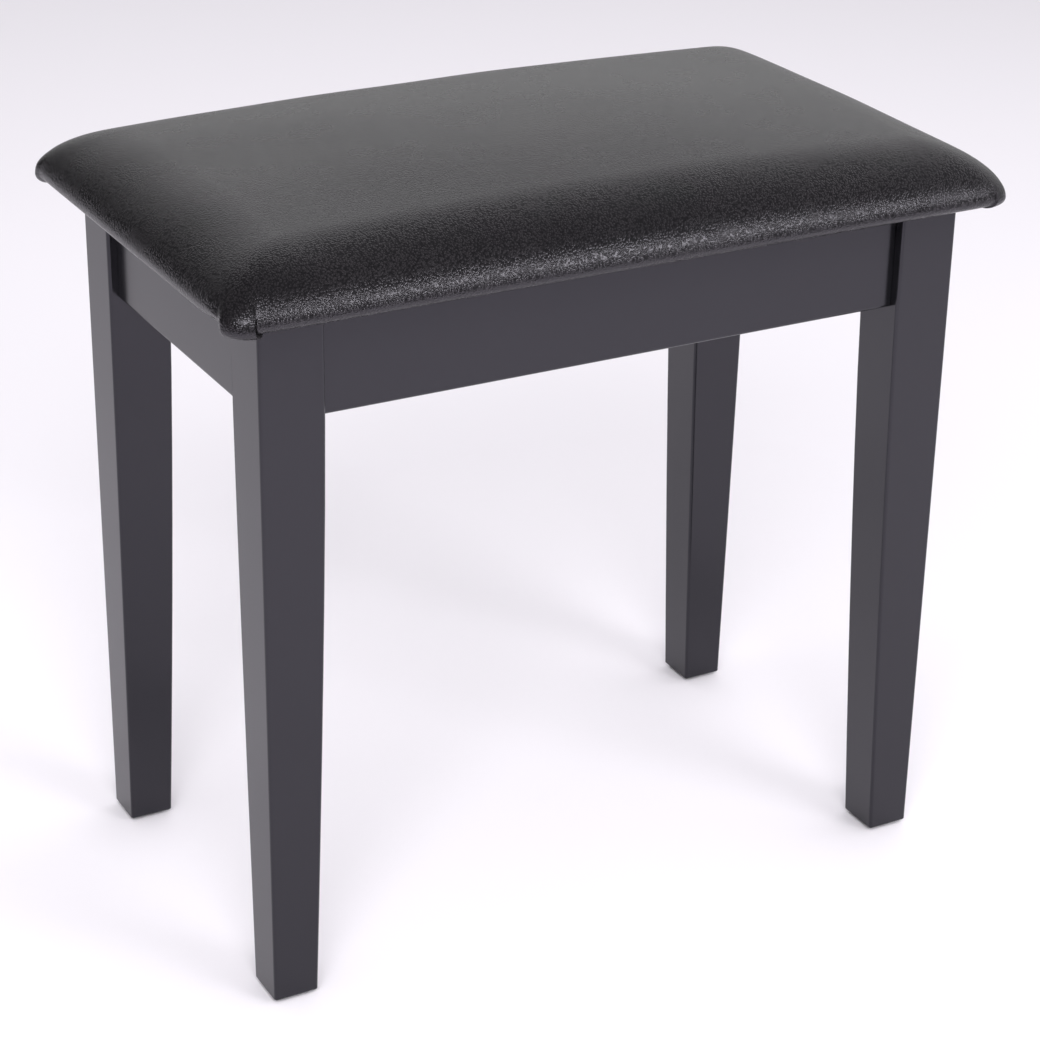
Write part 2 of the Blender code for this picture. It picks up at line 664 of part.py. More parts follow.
block_screw_places = screw_places()
seat_screw_points = seat_screw_places()
seat_cover()
seat_foam()
seat_board(seat_screw_points)
dust_cloth(seat_screw_points)
aprons(block_screw_places)
bolt_shape = bolt_mesh()
washer_shape = ring_mesh("washer", WASHER_RADIUS, WASHER_BORE, WASHER_THICKNESS)
insert_shape = ring_mesh("threaded_insert", INSERT_RADIUS, INSERT_BORE, INSERT_LENGTH)
for corner_name, (side_x, side_y) in CORNERS.items():
    leg(corner_name, side_x, side_y)
    corner_block(corner_name, side_x, side_y, block_screw_places, seat_screw_points[corner_name])
    bolts(corner_name, side_x, side_y, bolt_shape, washer_shape, insert_shape)
block_screws(block_screw_places, screw_mesh("block_screw", BLOCK_SCREW_LENGTH))
seat_screws(seat_screw_points, screw_mesh("seat_screw", SEAT_SCREW_LENGTH))
foot_glides()
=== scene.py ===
# Piano bench: the looks. Everything is in metres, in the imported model's own frame:
# x runs along the seat, the front faces -y, and the floor is at z = 0.
import math
import bpy
import numpy as np
from mathutils import Matrix, Vector


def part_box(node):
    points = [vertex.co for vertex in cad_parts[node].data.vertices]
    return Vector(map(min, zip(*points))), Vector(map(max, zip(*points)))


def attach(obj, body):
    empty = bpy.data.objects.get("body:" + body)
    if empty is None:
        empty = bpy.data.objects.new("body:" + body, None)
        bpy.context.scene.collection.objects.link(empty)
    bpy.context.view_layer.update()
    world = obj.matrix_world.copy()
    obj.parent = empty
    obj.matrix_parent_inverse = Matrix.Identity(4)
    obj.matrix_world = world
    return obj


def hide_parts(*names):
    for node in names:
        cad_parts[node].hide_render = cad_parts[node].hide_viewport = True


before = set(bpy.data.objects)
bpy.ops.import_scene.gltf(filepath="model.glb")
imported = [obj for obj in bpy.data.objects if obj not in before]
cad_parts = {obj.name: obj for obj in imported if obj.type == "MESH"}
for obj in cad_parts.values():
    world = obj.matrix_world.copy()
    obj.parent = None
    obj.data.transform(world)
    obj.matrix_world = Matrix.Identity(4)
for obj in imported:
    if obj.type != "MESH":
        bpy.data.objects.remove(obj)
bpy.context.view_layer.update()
millimetre = 0.001


def linkObject(name, data):
    obj = bpy.data.objects.new(name, data)
    bpy.context.scene.collection.objects.link(obj)
    return obj


# Camera

camera = {
    "target": (-0.0076, -0.0223, 0.2372),
    "azimuth": -28.86,    # degrees round from straight in front, towards the left
    "elevation": 25.12,
    "distance": 1.8212,
    "roll": 0.954,
    "lens": 95.82,
    "sensor": 36,
    "clip": (0.05, 50),
}


def makeCamera():
    data = bpy.data.cameras.new("camera")
    data.lens = camera["lens"]
    data.sensor_width = camera["sensor"]
    data.clip_start, data.clip_end = camera["clip"]
    obj = linkObject("camera", data)
    turn = math.radians(camera["azimuth"])
    rise = math.radians(camera["elevation"])
    away = Vector((math.sin(turn) * math.cos(rise), -math.cos(turn) * math.cos(rise), math.sin(rise)))
    aim = (-away).to_track_quat("-Z", "Y").to_matrix().to_4x4()
    roll = Matrix.Rotation(math.radians(camera["roll"]), 4, "Z")
    place = Matrix.Translation(Vector(camera["target"]) + away * camera["distance"])
    obj.matrix_world = place @ aim @ roll
    bpy.context.scene.camera = obj


# Node and colour helpers

def hexColour(code):    # an sRGB hex colour turned to linear light
    parts = np.array([int(code[i:i + 2], 16) / 255 for i in (1, 3, 5)])
    linear = np.where(parts <= 0.04045, parts / 12.92, ((parts + 0.055) / 1.055) ** 2.4)
    return (*[float(value) for value in linear], 1.0)


def addNode(tree, kind, inputs=None, **settings):    # inputs hold plain values or other nodes' sockets
    node = tree.nodes.new("ShaderNode" + kind)
    for name, value in settings.items():
        setattr(node, name, value)
    for key, value in (inputs or {}).items():
        if isinstance(value, bpy.types.NodeSocket):
            tree.links.new(value, node.inputs[key])
        else:
            node.inputs[key].default_value = value
    return node


def newMaterial(name):
    material = bpy.data.materials.new(name)
    material.use_nodes = True
    tree = material.node_tree
    tree.nodes.clear()
    coords = addNode(tree, "TexCoord").outputs["Object"]
    return material, tree, coords


def finishMaterial(material, tree, inputs):
    shader = addNode(tree, "BsdfPrincipled", inputs)
    addNode(tree, "OutputMaterial", {"Surface": shader.outputs["BSDF"]})
    return material


def remap(tree, value, before, after, **settings):    # carries the range before onto the range after
    return addNode(tree, "MapRange", {
        "Value": value, "From Min": before[0], "From Max": before[1],
        "To Min": after[0], "To Max": after[1],
    }, **settings).outputs["Result"]


def spread(tree, factor, reach):    # carries 0..1 onto reach
    return remap(tree, factor, (0.0, 1.0), reach)


def blendColours(tree, factor, first, second):    # the colours are hex codes or other nodes' sockets
    first, second = [hexColour(each) if isinstance(each, str) else each for each in (first, second)]
    return addNode(tree, "Mix", {0: factor, 6: first, 7: second}, data_type="RGBA").outputs[2]


def calculate(tree, operation, *values):
    return addNode(tree, "Math", dict(enumerate(values)), operation=operation).outputs[0]


def noise(tree, coords, size, detail=2.0, roughness=0.5, stretch=(1, 1, 1)):    # size of a blotch in mm
    scaled = addNode(tree, "Mapping", {"Vector": coords, "Scale": stretch}).outputs["Vector"]
    return addNode(tree, "TexNoise", {
        "Vector": scaled, "Scale": 1 / (size * millimetre), "Detail": detail, "Roughness": roughness,
    }).outputs["Fac"]


def cells(tree, coords, size, randomness=1.0):    # distance from the middle of cells of a size in mm
    return addNode(tree, "TexVoronoi", {
        "Vector": coords, "Scale": 1 / (size * millimetre), "Randomness": randomness,
    }).outputs["Distance"]


def relief(tree, height, depth, strength=1.0):    # depth in mm
    return addNode(tree, "Bump", {
        "Height": height, "Strength": strength, "Distance": depth * millimetre,
    }).outputs["Normal"]


# Materials

lacquerLook = {
    "colour": "#101012", "thin": "#161619",
    "thinShare": 0.6,
    "sheen": "#f4f0ff",      # the gloss leans a little towards violet
    "gloss": 1.5,            # index of refraction
    "roughness": (0.19, 0.24),
    "cloud": 70,             # mm across a slow change of the coat
    "peel": 2.2,             # mm across one dimple of orange peel
    "grain": 1.1,            # mm across one line of wood grain showing through
    "grainStretch": 0.04,
    "dust": 9,               # mm between specks of dust caught in the coat
    "speck": 0.035,          # a speck's reach, as a share of that
    "speckHeight": 1.5,
    "depth": 0.004,          # mm
}


def satinLacquer(name, along):
    # Black polyurethane lacquer sprayed on beech and rubbed to satin: an even black with a broad
    # soft sheen, a little orange peel, and the wood grain just showing through along the piece.
    look = lacquerLook
    material, tree, coords = newMaterial(name)
    stretch = [1.0, 1.0, 1.0]
    stretch[along] = look["grainStretch"]
    cloud = noise(tree, coords, look["cloud"])
    peel = noise(tree, coords, look["peel"], detail=1.0)
    grain = noise(tree, coords, look["grain"], detail=3.0, roughness=0.6, stretch=stretch)
    dust = remap(tree, cells(tree, coords, look["dust"]), (0.0, look["speck"]), (1.0, 0.0))
    height = calculate(tree, "ADD", peel, grain)
    height = calculate(tree, "MULTIPLY_ADD", dust, look["speckHeight"], height)
    thin = spread(tree, cloud, (0.0, look["thinShare"]))
    return finishMaterial(material, tree, {
        "Base Color": blendColours(tree, thin, look["colour"], look["thin"]),
        "Roughness": spread(tree, cloud, look["roughness"]),
        "Normal": relief(tree, height, look["depth"]),
        "IOR": look["gloss"],
        "Specular Tint": hexColour(look["sheen"]),
    })


leatheretteLook = {
    # paintedGlint: a lighter colour painted on the pebble tops, as glints
    "colour": "#131214", "paintedGlint": "#2f2c2f",
    "sheen": "#f8f4ff",
    "gloss": 1.5,            # index of refraction
    "roughness": (0.24, 0.30),
    "cloud": 45,             # mm across a slow change of sheen
    "pebble": 1.25,          # mm across one embossed grain
    "uneven": 0.9,           # 0 for pebbles in rows, 1 for pebbles at random
    "dome": (0.1, 0.75),     # where a pebble's top ends and its valley begins
    "bend": 4, "bendBy": 0.3,      # mm, to make the pebbles' outlines crooked
    "pore": 0.55, "poreHeight": 0.25,
    "depth": 0.14,           # mm
}


def embossedLeatherette(name):
    # Polyurethane coated cloth, embossed with a fine pebble grain by a roller: a dull black skin
    # whose highlights break up into tiny glints, with slow cloudy changes of sheen. The pebble tops are
    # also painted a lighter colour, in cloudy patches, as painted glints.
    look = leatheretteLook
    material, tree, coords = newMaterial(name)
    bend = addNode(tree, "TexNoise", {
        "Vector": coords, "Scale": 1 / (look["bend"] * millimetre), "Detail": 1.0,
    }).outputs["Color"]
    shift = addNode(tree, "VectorMath", {0: bend, "Scale": look["bendBy"] * millimetre},
                    operation="SCALE").outputs["Vector"]
    warped = addNode(tree, "VectorMath", {0: coords, 1: shift}, operation="ADD").outputs["Vector"]
    pebble = cells(tree, warped, look["pebble"], look["uneven"])
    dome = remap(tree, pebble, look["dome"], (1.0, 0.0), interpolation_type="SMOOTHSTEP")
    pore = noise(tree, coords, look["pore"], detail=1.0)
    height = calculate(tree, "MULTIPLY_ADD", pore, look["poreHeight"], dome)
    cloud = noise(tree, coords, look["cloud"], detail=3.0, roughness=0.6)
    # painted glints: the pebble tops get a lighter base colour, more so where the cloud is high
    paintedGlint = calculate(tree, "MULTIPLY", cloud, dome)
    return finishMaterial(material, tree, {
        "Base Color": blendColours(tree, paintedGlint, look["colour"], look["paintedGlint"]),
        "Roughness": spread(tree, cloud, look["roughness"]),
        "Normal": relief(tree, height, look["depth"]),
        "IOR": look["gloss"],
        "Specular Tint": hexColour(look["sheen"]),
    })


beechLook = {
    "dark": "#b58a5e", "light": "#cfa87c", "fleckColour": "#8f6540",
    "roughness": (0.6, 0.75),
    "ring": 6, "ringStretch": (0.25, 0.25, 1.0),        # mm across
    "fleck": 0.8, "fleckStretch": (0.2, 0.2, 1.0),
    "fleckShows": (0.58, 0.7),
    "depth": 0.1, "strength": 0.6,
}


def sawnBeech(name):
    # Beech blocks as they come off the saw: pale pinkish brown, short dark flecks along the grain,
    # and a rough, dull face.
    look = beechLook
    material, tree, coords = newMaterial(name)
    rings = noise(tree, coords, look["ring"], detail=3.0, roughness=0.6, stretch=look["ringStretch"])
    fleck = noise(tree, coords, look["fleck"], stretch=look["fleckStretch"])
    marks = remap(tree, fleck, look["fleckShows"], (0.0, 1.0))
    base = blendColours(tree, rings, look["dark"], look["light"])
    return finishMaterial(material, tree, {
        "Base Color": blendColours(tree, marks, base, look["fleckColour"]),
        "Roughness": spread(tree, rings, look["roughness"]),
        "Normal": relief(tree, fleck, look["depth"], look["strength"]),
    })


plywoodLook = {
    "dark": "#c9a87c", "light": "#dcc29a", "glue": "#8c6a44",
    "glueShare": 0.35,
    "roughness": (0.62, 0.78),
    "figure": 9, "figureStretch": (0.12, 1.0, 1.0),     # mm across
    "ply": 1.5,              # mm between glue lines, to within about 2 %
    "waver": 0.4,
    "depth": 0.1, "strength": 0.5,
}


def birchPlywood(name):
    # Rotary-cut birch plywood: pale faces with long soft figure, and dark glue lines through the
    # thickness.
    look = plywoodLook
    material, tree, coords = newMaterial(name)
    figure = noise(tree, coords, look["figure"], detail=3.0, roughness=0.55, stretch=look["figureStretch"])
    plies = addNode(tree, "TexWave", {
        "Vector": coords, "Scale": 2 / (math.tau * look["ply"] * millimetre),
        "Distortion": look["waver"], "Detail": 1.0,
    }, bands_direction="Z").outputs["Fac"]
    base = blendColours(tree, figure, look["dark"], look["light"])
    return finishMaterial(material, tree, {
        "Base Color": blendColours(tree, spread(tree, plies, (0.0, look["glueShare"])), base, look["glue"]),
        "Roughness": spread(tree, figure, look["roughness"]),
        "Normal": relief(tree, figure, look["depth"], look["strength"]),
    })


foamLook = {
    "dark": "#d8ca98", "light": "#f0e6bf",
    "roughness": (0.88, 1.0),
    "cell": 0.9, "depth": 0.4,       # mm
}


def openCellFoam(name):
    # Flexible polyurethane foam, cut from a block: cream, fully matt, pitted with open cells, whose middles
    # are painted darker as shade in the pits.
    look = foamLook
    material, tree, coords = newMaterial(name)
    pits = cells(tree, coords, look["cell"])
    return finishMaterial(material, tree, {
        # painted shade: darker towards the middle of each open cell, where the relief dips
        "Base Color": blendColours(tree, pits, look["dark"], look["light"]),
        "Roughness": spread(tree, pits, look["roughness"]),
        "Normal": relief(tree, pits, look["depth"]),
    })


spunbondLook = {
    "dark": "#171718", "light": "#2c2c2e",
    "roughness": (0.55, 0.92),       # in the welded points, and between them
    "weld": 1.4, "weldTurn": 45,     # mm between welded points, and degrees their rows are turned by
    "weldEdge": (0.16, 0.30),
    "fibre": 0.5, "fibreStretch": (1.0, 0.25, 1.0), "fibreHeight": 0.5,
    "depth": 0.12, "strength": 0.8,
}


def spunbondCloth(name):
    # Spunbond polypropylene: black fibres pressed flat and welded in a grid of small points, so it
    # looks like thin felt with rows of tiny shiny pits.
    look = spunbondLook
    material, tree, coords = newMaterial(name)
    rotation = (0, 0, math.radians(look["weldTurn"]))
    turned = addNode(tree, "Mapping", {"Vector": coords, "Rotation": rotation}).outputs["Vector"]
    weld = cells(tree, turned, look["weld"], randomness=0.0)
    pit = remap(tree, weld, look["weldEdge"], (0.0, 1.0))
    fibre = noise(tree, coords, look["fibre"], detail=3.0, roughness=0.7, stretch=look["fibreStretch"])
    height = calculate(tree, "MULTIPLY_ADD", fibre, look["fibreHeight"], pit)
    return finishMaterial(material, tree, {
        "Base Color": blendColours(tree, fibre, look["dark"], look["light"]),
        "Roughness": spread(tree, pit, look["roughness"]),
        "Normal": relief(tree, height, look["depth"], look["strength"]),
    })


zincLook = {
    "bright": ("#c8cacd", "#9fa3a8"),
    "yellow": ("#c9b47e", "#a58f5e"),
    "brightRoughness": (0.23, 0.37),
    "yellowRoughness": (0.29, 0.43),
    "cloud": 3.5, "marks": 0.25, "depth": 0.02,     # mm
    "strength": 0.4,
}


def zincPlate(name, kind):
    # Zinc plated from a bath onto turned metal: bright grey or yellow, with faint cloudy patches
    # and fine turning marks.
    look = zincLook
    material, tree, coords = newMaterial(name)
    cloud = noise(tree, coords, look["cloud"], detail=3.0, roughness=0.6)
    marks = noise(tree, coords, look["marks"], detail=1.0)
    return finishMaterial(material, tree, {
        "Base Color": blendColours(tree, cloud, *look[kind]),
        "Metallic": 1.0,
        "Roughness": spread(tree, cloud, look[kind + "Roughness"]),
        "Normal": relief(tree, marks, look["depth"], look["strength"]),
    })


nylonLook = {
    "colour": "#26262a", "scuffed": "#4a4a4c",
    "roughness": (0.42, 0.6),
    "texture": 0.3,                                  # mm
    "scuff": 2.5, "scuffStretch": (1.0, 0.2, 1.0),
    "scuffShows": (0.55, 0.75), "scuffShare": 0.7,
    "depth": 0.04, "strength": 0.5,
}


def mouldedNylon(name):
    # Injection moulded black nylon: dark grey and slightly waxy, with a spark-eroded texture and
    # scuffs where it has met the floor.
    look = nylonLook
    material, tree, coords = newMaterial(name)
    texture = noise(tree, coords, look["texture"])
    scuff = noise(tree, coords, look["scuff"], detail=4.0, roughness=0.7, stretch=look["scuffStretch"])
    marks = remap(tree, scuff, look["scuffShows"], (0.0, look["scuffShare"]))
    return finishMaterial(material, tree, {
        "Base Color": blendColours(tree, marks, look["colour"], look["scuffed"]),
        "Roughness": spread(tree, scuff, look["roughness"]),
        "Normal": relief(tree, texture, look["depth"], look["strength"]),
    })


# Mesh helpers

weldReach = 2e-7      # points this close, in metres, fall together


def weldedMesh(name, grids):
    # grid[row, column] is a surface point, and each grid closes on itself across. Neighbouring points
    # are joined into quads, points that fall together become one, and quads that collapse are dropped.
    # Gives the mesh, its points, and the place of each grid point among them.
    points = []
    quads = []
    start = 0
    for grid in grids:
        rows, columns = grid.shape[:2]
        index = start + np.arange(rows * columns).reshape(rows, columns)
        index = np.concatenate([index, index[:, :1]], axis=1)
        corners = np.stack([index[:-1, :-1], index[:-1, 1:], index[1:, 1:], index[1:, :-1]], axis=-1)
        points.append(grid.reshape(-1, 3))
        quads.append(corners.reshape(-1, 4))
        start += rows * columns
    points = np.concatenate(points)
    quads = np.concatenate(quads)
    rounded = np.round(points / weldReach)
    _, first, place = np.unique(rounded, axis=0, return_index=True, return_inverse=True)
    place = place.reshape(-1)
    faces = [tuple(dict.fromkeys(quad)) for quad in place[quads].tolist()]
    mesh = bpy.data.meshes.new(name)
    mesh.from_pydata(points[first].tolist(), [], [face for face in faces if len(face) > 2])
    return mesh, points[first], place


def addPiece(name, grids, material, rideOn="root"):
    mesh = weldedMesh(name, grids)[0]
    mesh.validate()
    mesh.shade_smooth()
    mesh.materials.append(material)
    obj = linkObject(name, mesh)
    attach(obj, rideOn)
    return obj


def thicken(obj, thickness, offset):
    shell = obj.modifiers.new("thickness", "SOLIDIFY")
    shell.thickness = thickness
    shell.offset = offset


def easeIn(values, low, high):    # 0 below low, 1 above high, smooth between
    step = np.clip((values - low) / (high - low), 0, 1)
    return step * step * (3 - 2 * step)


waves = {"count": 7, "spread": (0.7, 1.5)}


def waviness(points, seed, size, height):
    # A sum of a few sine waves with seeded directions, for slow, faint unevenness.
    random = np.random.default_rng(seed)
    total = np.zeros(points.shape[:-1])
    for _ in range(waves["count"]):
        turn = random.uniform(0, math.tau)
        wave = math.tau / (size * random.uniform(*waves["spread"]))
        phase = random.uniform(0, math.tau)
        along = points[..., 0] * math.cos(turn) + points[..., 1] * math.sin(turn)
        total += np.sin(wave * along + phase)
    return total * height / math.sqrt(waves["count"])


# The upholstered pad

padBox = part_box("seat_cover")
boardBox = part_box("seat_board")
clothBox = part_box("dust_cloth")
pad = {
    "halfX": padBox[1].x, "halfY": padBox[1].y,
    "bottom": padBox[0].z, "top": padBox[1].z,
    "shoulder": 0.0540,       # width of the roll-over
    "crown": 0.0142,          # how far the middle stands above the shoulder
    "edgePower": 6.5,         # superellipse power of the corners in plan, at the edge
    "topPower": 3.5,          # and at the top of the shoulder
    "rollWidth": 0.0055, "rollDrop": 0.0050,
    "rollLength": 0.0075,     # along the profile
    "shoulderLength": 0.0648,
    "shoulderStart": 1.25,    # above 1, the rows of the shoulder stand closer at its lower end
    "hemReach": 0.035,
    "skin": 0.0010,
    "fine": {"corner": 150, "sideX": 44, "sideY": 30, "hem": 6, "roll": 12, "shoulder": 46, "closing": 16},
    "coarse": {"corner": 16, "sideX": 22, "sideY": 13, "hem": 3, "roll": 3, "shoulder": 12, "closing": 9},
}
pad["rise"] = pad["top"] - pad["bottom"] - pad["rollDrop"] - pad["crown"]
pad["widest"] = pad["bottom"] + pad["rollDrop"]
pad["inner"] = pad["halfY"] - pad["shoulder"]    # from the shoulder to the line along the middle

pleat = {    # lengths in mm; each pair of heights or places is where something begins and ends fading
    "place": 12.2,        # from the corner's middle, towards the long side
    "density": 7.0, "densityReach": 4.0,    # how much closer the columns stand there, and how widely
    "lean": 0.13, "leanTop": 30.0,          # the slit leans back towards the corner as it climbs
    "toe": 0.7, "toeTop": 1.5, "toeReach": 5.0,    # and swings the other way under its lowest part
    "under": (-9.0, -2.0),      # the folds begin on the underside
    "width": 0.30, "depth": 2.4,
    "slitShift": 0.4,           # the slit lies just past the pouch's end
    "slitFade": (9.0, 14.0),    # up from the bottom of the pad
    "crease": 0.30, "creaseWidth": 1.8,     # a shallow crease goes on above the slit
    "creaseRise": (6.0, 12.0), "creaseFade": (18.0, 34.0),
    "frontFullness": (1.0, 0.4),    # how far each corner's pouch bulges, left and right
    "rearFullness": (0.6, 0.5),
    "opening": (0.45, 0.9),         # a tight corner's fold stays shut
    "frontPouch": (-14.5, -5.0),    # where the loose pouch starts, on the left and on the right corner
    "rearPouch": (-14.5, -14.5),
    "pouchEase": 7.5, "pouchEnd": (-0.5, 0.3),
    "pouchOut": 2.5, "pouchFade": (11.0, 28.0),
    "pouchDrop": 2.3, "dropFade": (3.0, 16.0),
    "sideTuck": 1.3, "sideEnd": (-2.5, 4.0),    # the short sides are pulled up, short of the pouch
    "sideIn": 0.6, "sideInFade": (2.0, 14.0),
    "frontTuck": 2.2, "frontTuckFrom": (-44.0, -16.0),    # and more so just behind the front left corner
    "underside": (-1.0, 2.5),       # the flat underside stays below the board
}
angleSteps = 4001      # fine enough to measure the corner's length
tiny = 1e-9


def padColumns(counts):
    # One quarter of the outline runs from the middle of the right side, round the corner, to the
    # middle of the rear side. Each column holds the signs gX, gY of its flat part, the cosine and
    # sine of its place on the corner, and its distance q along the edge from the corner's middle.
    # The columns stand closest where the pleat is.
    angle = np.linspace(0, math.pi / 2, angleSteps)
    power = 2 / pad["edgePower"]
    across = np.clip(np.cos(angle), 0, 1) ** power
    up = np.clip(np.sin(angle), 0, 1) ** power
    steps = np.hypot(np.diff(across), np.diff(up))
    length = np.concatenate([[0], np.cumsum(steps)]) * pad["shoulder"]
    reach = length - length[-1] / 2
    apart = (reach / millimetre - pleat["place"]) / pleat["densityReach"]
    density = 1 + pleat["density"] * np.exp(-apart ** 2)
    walked = np.concatenate([[0], np.cumsum(density[1:] * np.diff(length))])
    turn = np.interp(np.linspace(0, walked[-1], counts["corner"] + 1), walked, angle)
    cornerQ = np.interp(turn, angle, reach)
    sideY = np.sin(math.pi / 2 * np.linspace(0, 1, counts["sideY"] + 1))[:-1]
    sideX = np.sin(math.pi / 2 * np.linspace(1, 0, counts["sideX"] + 1))[1:]
    gX = np.concatenate([np.ones(len(sideY) + len(turn)), sideX])
    gY = np.concatenate([sideY, np.ones(len(turn) + len(sideX))])
    cosine = np.concatenate([np.ones(len(sideY)), np.clip(np.cos(turn), 0, 1), 0 * sideX])
    sine = np.concatenate([0 * sideY, np.clip(np.sin(turn), 0, 1), np.ones(len(sideX))])
    cosine[np.abs(cosine) < tiny] = 0
    beforeCorner = cornerQ[0] - (1 - sideY) * (pad["halfY"] - pad["shoulder"])
    afterCorner = cornerQ[-1] + (1 - sideX) * (pad["halfX"] - pad["shoulder"])
    q = np.concatenate([beforeCorner, cornerQ, afterCorner])
    quarter = np.stack([gX, gY, cosine, sine, q])
    pieces = []
    for signX, signY in [(1, 1), (-1, 1), (-1, -1), (1, -1)]:
        part = quarter.copy()
        part[[0, 2]] *= signX
        part[[1, 3]] *= signY
        if signX != signY:
            part = part[:, ::-1]
        pieces.append(part[:, :-1])
    return np.concatenate(pieces, axis=1)


def padRows(counts):
    # Rows climb from the hem's inner edge, out along the underside, round a quarter ellipse under
    # the edge, up a quarter ellipse over the shoulder, and in to a line along the middle. Each row is
    # shrink, corner size, height, crowned or not, corner power, and distance along the profile.
    width, widest, rise = pad["shoulder"], pad["widest"], pad["rise"]
    rows = []
    for share in np.linspace(0, 1, counts["hem"] + 1)[:-1]:
        reach = pad["hemReach"] + (pad["rollWidth"] - pad["hemReach"]) * share
        walked = pad["rollWidth"] - reach
        rows.append((0.0, width - reach, pad["bottom"], 0.0, pad["edgePower"], walked))
    for share in np.linspace(0, 1, counts["roll"] + 1)[:-1]:
        turn = math.pi / 2 * (1 - share)
        reach = pad["rollWidth"] * (1 - math.cos(turn))
        height = widest - pad["rollDrop"] * math.sin(turn)
        rows.append((0.0, width - reach, height, 0.0, pad["edgePower"], share * pad["rollLength"]))
    for share in np.linspace(0, 1, counts["shoulder"] + 1) ** pad["shoulderStart"]:
        turn = math.pi / 2 * share
        height = widest + rise * math.sin(turn)
        power = pad["edgePower"] + (pad["topPower"] - pad["edgePower"]) * math.sin(turn)
        walked = pad["rollLength"] + pad["shoulderLength"] * share
        rows.append((0.0, width * math.cos(turn), height, 1.0, power, walked))
    for share in np.linspace(0, 1, counts["closing"] + 1)[1:]:
        shrink = pad["inner"] * share
        walked = pad["rollLength"] + pad["shoulderLength"] + shrink
        rows.append((shrink, 0.0, widest + rise, 1.0, pad["topPower"], walked))
    return np.array(rows).T


def padSurface(columns, rows):
    # The corner point is (cosine^(2/p), sine^(2/p)) for the row's power p. Then
    # x = (flat half length - shrink) * gX + corner * cornerX, and the same in y; z = the row's height
    # plus a crown that falls to nothing at the edges: crown * (1 - (x/a)^2) * (1 - (y/b)^2).
    gX, gY, cosine, sine = columns[:4]
    shrink, corner, height, crowned, power = rows[:5, :, None]
    cornerX = np.sign(cosine) * np.abs(cosine) ** (2 / power)
    cornerY = np.sign(sine) * np.abs(sine) ** (2 / power)
    x = (pad["halfX"] - pad["shoulder"] - shrink) * gX + corner * cornerX
    y = (pad["halfY"] - pad["shoulder"] - shrink) * gY + corner * cornerY
    lift = (1 - (x / pad["halfX"]) ** 2) * (1 - (y / pad["halfY"]) ** 2)
    z = height + crowned * pad["crown"] * lift
    return np.stack([x, y, z], axis=-1)


def outwards(columns):
    # The level direction straight out of the edge at each column: on a superellipse of power p with
    # corner angle a it is (cos(a)^(2(p-1)/p), sin(a)^(2(p-1)/p)), made one unit long.
    power = 2 * (pad["edgePower"] - 1) / pad["edgePower"]
    cosine, sine = columns[2:4]
    away = np.stack([
        np.sign(cosine) * np.abs(cosine) ** power,
        np.sign(sine) * np.abs(sine) ** power,
    ], axis=-1)
    return away / np.linalg.norm(away, axis=-1, keepdims=True)


def pleatCorners(points, columns, rows):
    # At each corner, a pouch is pushed out and down between its start and the slit; the slit is a
    # narrow line pressed inwards, leaning as it climbs, with a shallow crease above it; and the short
    # sides are pulled in and up short of the pouch. All of it fades with height above the bottom.
    # q runs along the edge and t up the profile, both in mm.
    q = columns[4][None, :] / millimetre
    t = rows[5][:, None] / millimetre
    isFront, isLeft = columns[1] < 0, columns[0] < 0
    start, full = [np.where(
        isFront, np.where(isLeft, *pleat["front" + what]), np.where(isLeft, *pleat["rear" + what]),
    ) for what in ("Pouch", "Fullness")]
    under = easeIn(t, *pleat["under"])

    lean = pleat["lean"] * np.clip(t, 0, pleat["leanTop"])
    toe = pleat["toe"] * np.clip(pleat["toeTop"] - t, 0, pleat["toeReach"])
    slitAt = pleat["place"] - lean + toe
    slit = np.exp(-((q - slitAt - pleat["slitShift"]) / pleat["width"]) ** 2)
    slit = slit * under * (1 - easeIn(t, *pleat["slitFade"]))
    crease = np.exp(-((q - slitAt) / pleat["creaseWidth"]) ** 2)
    crease = crease * easeIn(t, *pleat["creaseRise"]) * (1 - easeIn(t, *pleat["creaseFade"]))
    opened = easeIn(full, *pleat["opening"])
    folded = opened * (pleat["depth"] * slit + pleat["crease"] * crease)

    end, past = [slitAt + step for step in pleat["pouchEnd"]]
    pouch = easeIn(q, start, start + pleat["pouchEase"]) * (1 - easeIn(q, end, past))
    bulge = full * pleat["pouchOut"] * pouch * under * (1 - easeIn(t, *pleat["pouchFade"]))
    first, last = [start + step for step in pleat["sideEnd"]]
    sides = 1 - easeIn(q, first, last)
    pulledIn = pleat["sideIn"] * sides * under * (1 - easeIn(t, *pleat["sideInFade"]))
    out = bulge - folded - pulledIn

    frontLeft = (isFront & isLeft)[None, :] * easeIn(q, *pleat["frontTuckFrom"])
    tuck = (pleat["sideTuck"] + pleat["frontTuck"] * frontLeft) * sides * easeIn(t, *pleat["underside"])
    drop = pleat["pouchDrop"] * full * pouch * under - tuck
    drop = drop * (1 - easeIn(t, *pleat["dropFade"]))

    moved = points.copy()
    moved[..., :2] += outwards(columns) * out[..., None] * millimetre
    moved[..., 2] -= drop * millimetre
    return moved


blowUp = {
    "frames": 20, "quality": 6,
    "mass": 0.4, "stretch": 25, "shear": 15, "bend": 2.0,    # the cloth's stiffnesses
    "pressure": 4,
}


